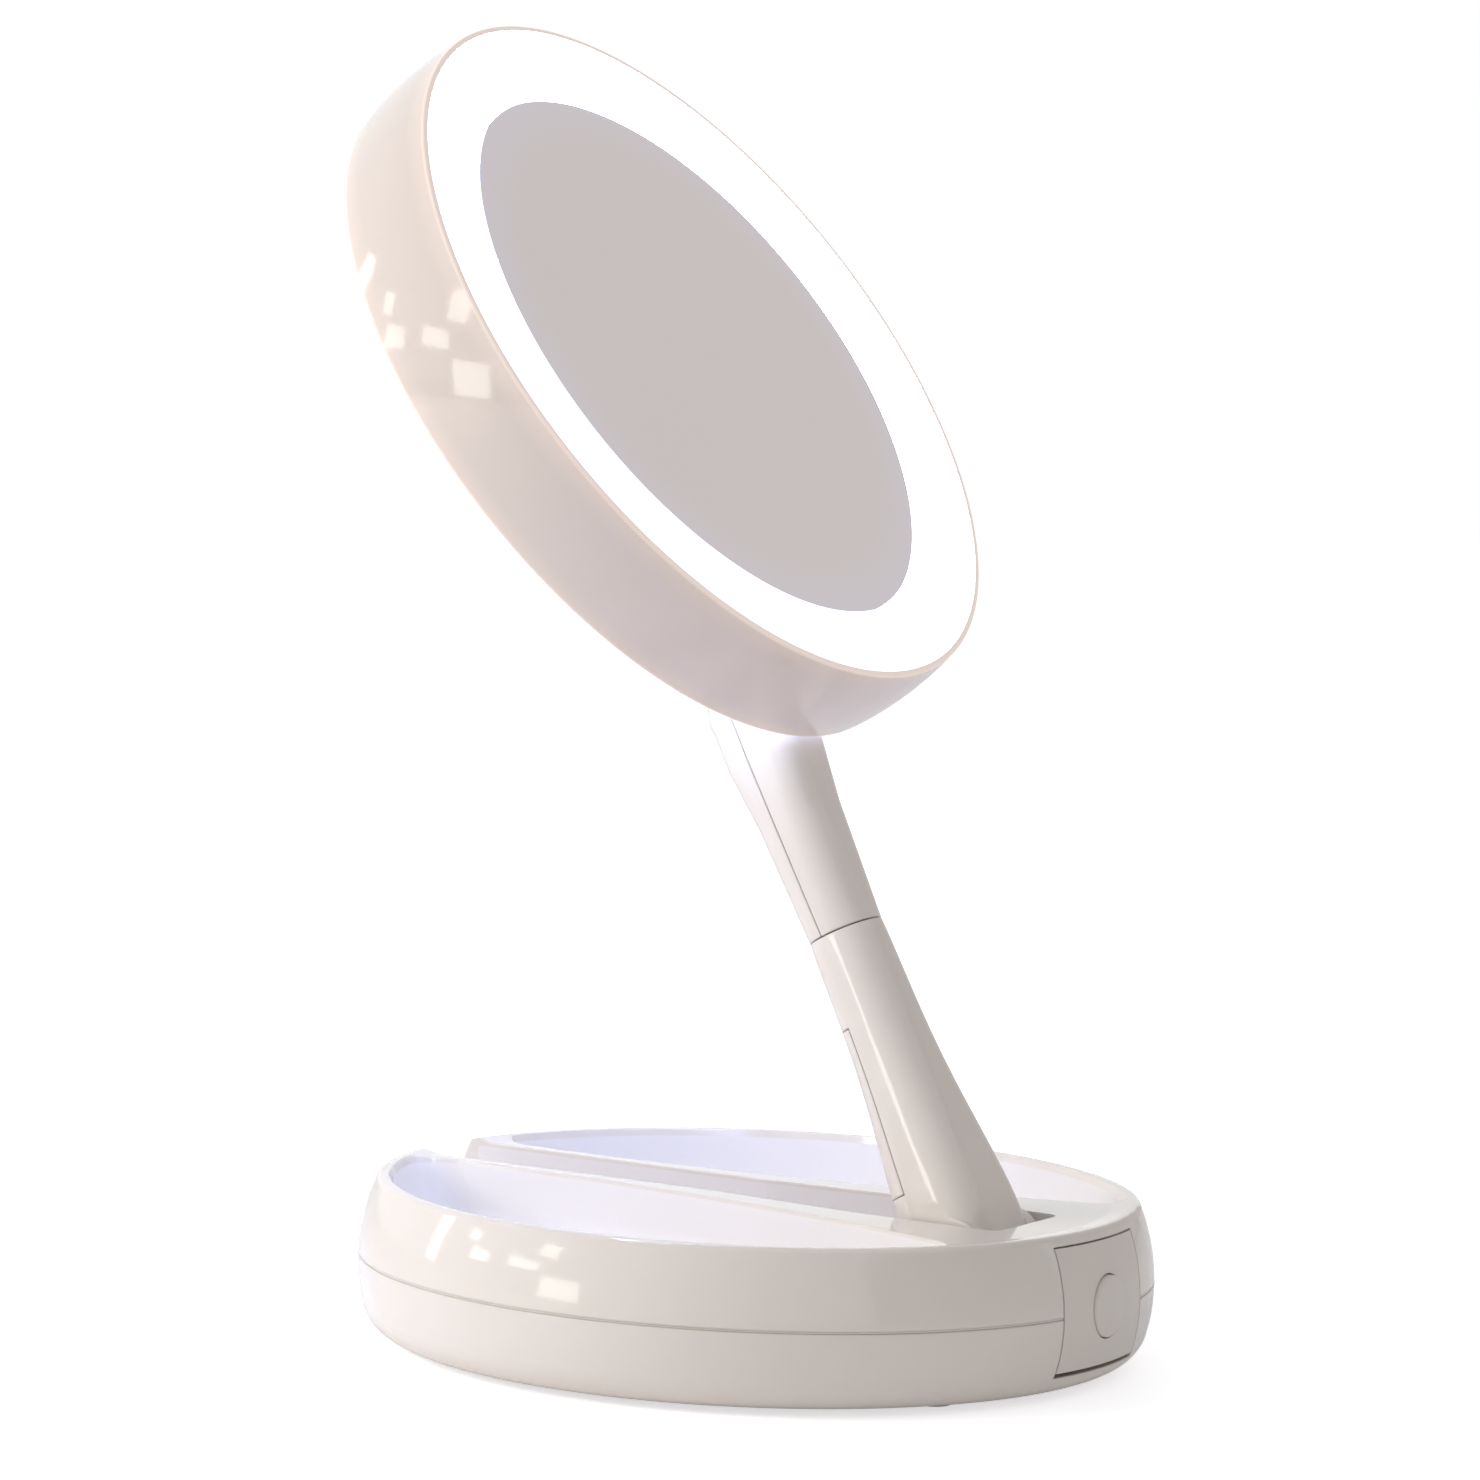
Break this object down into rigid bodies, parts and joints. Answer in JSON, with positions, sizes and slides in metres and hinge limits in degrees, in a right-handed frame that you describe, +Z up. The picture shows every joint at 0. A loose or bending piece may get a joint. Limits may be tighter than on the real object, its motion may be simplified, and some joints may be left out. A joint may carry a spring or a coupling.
{
  "type": "folding lighted mirror",
  "caption": "Double-sided round make-up mirror with lit rings on a swivelling arm that folds flat into the channel of a round base with two trays and a push button.",
  "frame": {"origin": "centre of the round base on the plane that its feet stand on", "axes": "+Z up, -Y towards the user, where the button is, and X across the base"},
  "size_m": [0.168, 0.1728, 0.2757],
  "materials": {
    "white_gloss": "glossy warm white moulded plastic",
    "panel_grey_white": "satin warm white moulded plastic",
    "light_ring": "milky light-spreading plastic, lit from behind with cool white",
    "mirror_glass": "silvered glass",
    "inner_white": "plain white moulding",
    "circuit_board": "glass-fibre board with solder mask",
    "black_chip": "black chip package",
    "lamp": "surface-mount lamp",
    "steel": "plain plated steel",
    "nylon": "natural nylon",
    "rubber_foot": "soft white rubber",
    "cell_jacket": "plain sleeve",
    "wire_jacket": "insulated lamp wire"
  },
  "bodies": {
    "base": {"base_lower_shell": "white_gloss", "base_upper_shell": "white_gloss", "button_panel": "panel_grey_white", "push_switch": "inner_white", "switch_board": "circuit_board", "control_board": "circuit_board", "light_driver_chip": "black_chip", "socket_board": "circuit_board", "charging_socket": "steel", "battery_cells": "cell_jacket", "battery_springs": "steel", "battery_contacts": "steel", "rubber_feet": "rubber_foot", "base_screws": "steel", "hinge_axle": "steel", "hinge_brackets": "steel", "hinge_washers": "nylon"},
    "left_battery_door": {"battery_door_left": "white_gloss"},
    "right_battery_door": {"battery_door_right": "white_gloss"},
    "button": {"power_button": "panel_grey_white"},
    "lower_arm": {"lower_arm_shell": "white_gloss", "lower_arm_cover": "white_gloss", "lower_arm_wires": "wire_jacket"},
    "swivel": {"swivel_spigot": "steel", "swivel_washer": "nylon", "swivel_clip": "steel"},
    "upper_arm": {"upper_arm_front_shell": "white_gloss", "upper_arm_back_shell": "white_gloss", "upper_arm_screws": "steel", "upper_arm_wires": "wire_jacket"},
    "head_pin": {"tilt_pin": "steel", "tilt_washers": "nylon"},
    "head": {"head_rim": "white_gloss", "front_mirror": "mirror_glass", "front_mirror_holder": "inner_white", "front_light_ring": "light_ring", "front_led_board": "circuit_board", "front_leds": "lamp", "back_mirror": "mirror_glass", "back_mirror_holder": "inner_white", "back_light_ring": "light_ring", "back_led_board": "circuit_board", "back_leds": "lamp", "head_hinge_bracket": "white_gloss", "bracket_screws": "steel"}
  },
  "joints": [
    {"name": "arm_fold", "type": "hinge", "parent": "base", "child": "lower_arm", "pos_m": [0, -0.0527, 0.02475], "axis": [1, 0, 0], "range_deg": [-61.5, 0]},
    {"name": "fold_swivel", "type": "hinge", "parent": "lower_arm", "child": "swivel", "pos_m": [0, -0.01851, 0.08959], "axis": [0, 0.4664, 0.8846], "range_deg": [0, 180.5]},
    {"name": "arm_swivel", "type": "hinge", "parent": "swivel", "child": "upper_arm", "pos_m": [0, -0.01851, 0.08959], "axis": [0, 0.4664, 0.8846], "range_deg": [0, 180]},
    {"name": "fold_flip", "type": "hinge", "parent": "upper_arm", "child": "head_pin", "pos_m": [0, 0.00476, 0.13373], "axis": [1, 0, 0], "range_deg": [-170.8, 0]},
    {"name": "head_tilt", "type": "hinge", "parent": "head_pin", "child": "head", "pos_m": [0, 0.00476, 0.13373], "axis": [-1, 0, 0], "range_deg": [-9, 60]},
    {"name": "power_press", "type": "slide", "parent": "base", "child": "button", "axis": [0, 1, 0], "range_m": [0, 0.0008], "stiffness_N_per_m": 1500, "springref_m": -0.0004},
    {"name": "left_door_lift", "type": "slide", "parent": "base", "child": "left_battery_door", "axis": [0, 0, -1], "range_m": [0, 0.03]},
    {"name": "right_door_lift", "type": "slide", "parent": "base", "child": "right_battery_door", "axis": [0, 0, -1], "range_m": [0, 0.03]}
  ],
  "couplings": [
    {"joint": "fold_swivel", "follows": "arm_fold", "ratio": -2.9268},
    {"joint": "fold_flip", "follows": "arm_fold", "ratio": 2.7691}
  ]
}
